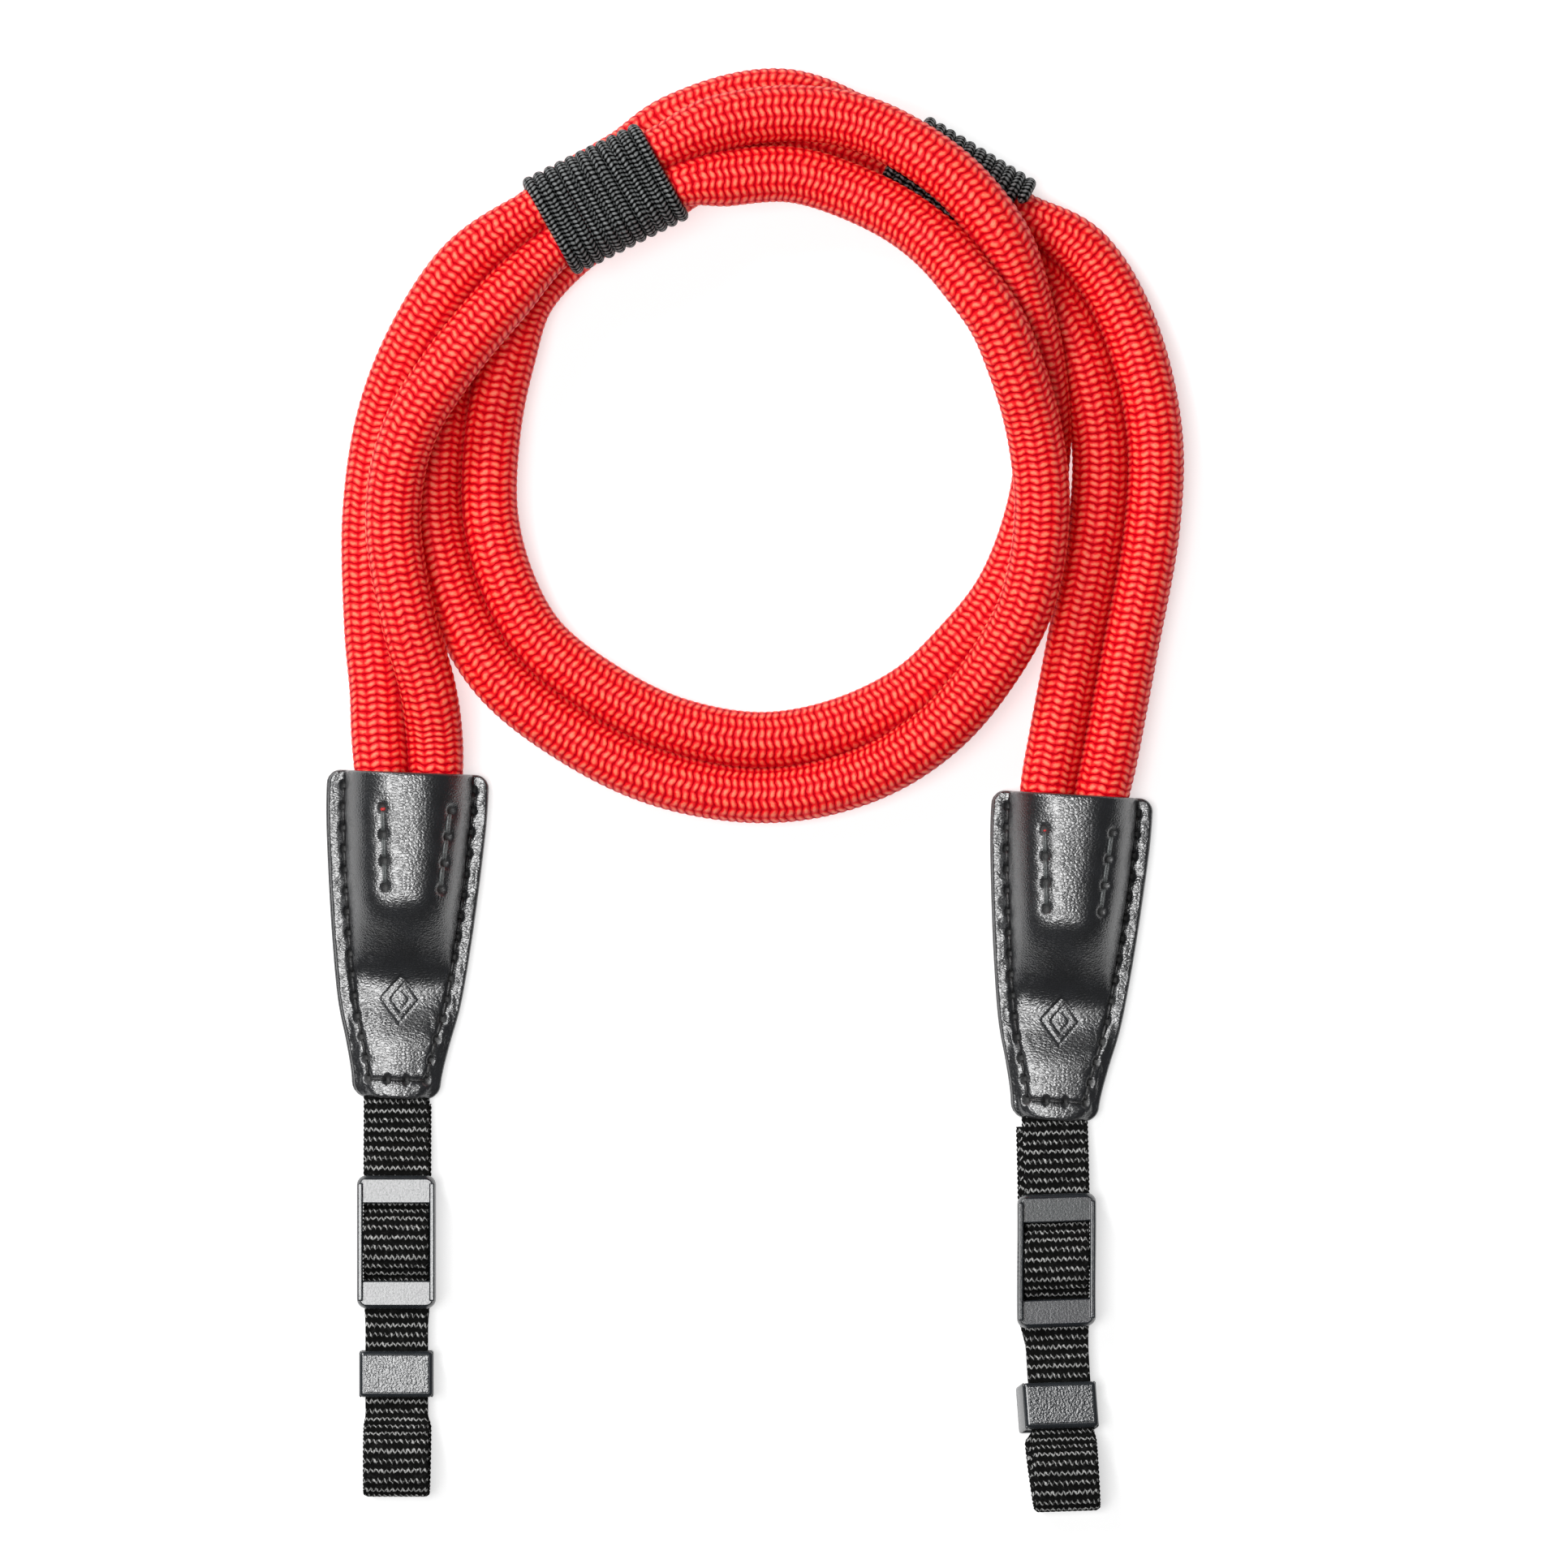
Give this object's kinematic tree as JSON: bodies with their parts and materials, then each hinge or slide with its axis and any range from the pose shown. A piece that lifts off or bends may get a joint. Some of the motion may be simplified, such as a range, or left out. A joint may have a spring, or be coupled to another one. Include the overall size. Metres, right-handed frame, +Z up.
{
  "type": "camera strap",
  "caption": "Camera neck strap of doubled red braided rope in a flat coil, with stitched leather tabs and woven end straps that pass through plastic sliders and keepers",
  "frame": {"origin": "on the ground plane, at the middle of the box round the tabs, straps, sliders and keepers", "axes": "+Z up out of the coil's plane, +Y from the straps towards the coil, +X across from the left tab to the right one"},
  "size_m": [0.1317, 0.222, 0.0239],
  "materials": {
    "rope": "bright red braided polyester sheath, slight sheen",
    "whipping_cord": "black braided cord, slight sheen",
    "leather": "black fine-grained leather, semi-gloss",
    "thread": "black waxed thread",
    "strap_webbing": "black ribbed webbing",
    "moulded_plastic": "black, fine spark-eroded texture with polished rims"
  },
  "bodies": {
    "ropes": {"rope_a": "rope", "rope_b": "rope", "whipping_left": "whipping_cord", "whipping_right": "whipping_cord"},
    "tab_left": {"tab_front_left": "leather", "tab_back_left": "leather", "seam_thread_left": "thread", "rope_stitch_inner_left": "thread", "rope_stitch_outer_left": "thread"},
    "strap_left": {"strap_left": "strap_webbing"},
    "slider_left": {"slider_left": "moulded_plastic"},
    "keeper_left": {"keeper_left": "moulded_plastic"},
    "tab_right": {"tab_front_right": "leather", "tab_back_right": "leather", "seam_thread_right": "thread", "rope_stitch_inner_right": "thread", "rope_stitch_outer_right": "thread"},
    "strap_right": {"strap_right": "strap_webbing"},
    "slider_right": {"slider_right": "moulded_plastic"},
    "keeper_right": {"keeper_right": "moulded_plastic"}
  },
  "joints": [
    {"name": "tab_left_flex", "type": "hinge", "parent": "ropes", "child": "tab_left", "pos_m": [-0.05117, 0.0626, 0.0052], "axis": [-0.9993, 0.0384, 0], "range_deg": [-45, 75], "deforming": ["rope_a", "rope_b"]},
    {"name": "strap_left_fold", "type": "hinge", "parent": "tab_left", "child": "strap_left", "pos_m": [-0.05333, 0.00504, 0.0018], "axis": [-1, 0, 0], "range_deg": [-70, 80], "deforming": ["strap_left"]},
    {"name": "slider_left_slide", "type": "slide", "parent": "strap_left", "child": "slider_left", "axis": [0, 1, 0], "range_m": [-0.0025, 0.005], "deforming": ["strap_left"]},
    {"name": "keeper_left_slide", "type": "slide", "parent": "strap_left", "child": "keeper_left", "axis": [0, 1, 0], "range_m": [-0.0027, 0.0032], "deforming": ["strap_left"]},
    {"name": "tab_right_flex", "type": "hinge", "parent": "ropes", "child": "tab_right", "pos_m": [0.0514, 0.05919, 0.0052], "axis": [-0.9983, 0.0576, 0], "range_deg": [-45, 75], "deforming": ["rope_a", "rope_b"]},
    {"name": "strap_right_fold", "type": "hinge", "parent": "tab_right", "child": "strap_right", "pos_m": [0.0482, 0.00168, 0.0018], "axis": [-0.9995, -0.0332, 0], "range_deg": [-70, 80], "deforming": ["strap_right"]},
    {"name": "slider_right_slide", "type": "slide", "parent": "strap_right", "child": "slider_right", "axis": [-0.0332, 0.9995, 0], "range_m": [-0.0025, 0.005], "deforming": ["strap_right"]},
    {"name": "keeper_right_slide", "type": "slide", "parent": "strap_right", "child": "keeper_right", "axis": [-0.0332, 0.9995, 0], "range_m": [-0.0004, 0.0044], "deforming": ["strap_right"]}
  ]
}
